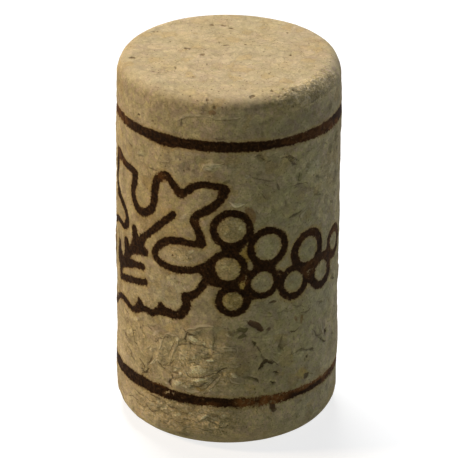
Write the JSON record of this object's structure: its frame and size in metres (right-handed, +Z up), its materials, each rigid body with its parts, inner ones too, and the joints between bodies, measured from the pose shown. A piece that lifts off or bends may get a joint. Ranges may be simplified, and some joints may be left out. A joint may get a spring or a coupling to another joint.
{
  "type": "wine cork",
  "caption": "Straight round bottle stopper of pressed cork granules, with flat ends, rounded edges and a printed vine ornament between two bands.",
  "frame": {"origin": "centre of the foot, on the surface that the cork stands on", "axes": "+Z up along the cork's axis to its top face, -Y towards the printed front, +X to the right of that front"},
  "size_m": [0.022, 0.022, 0.038],
  "materials": {
    "cork": "matte pressed cork granules with dark brown print"
  },
  "bodies": {
    "root": {"cork": "cork"}
  },
  "joints": []
}
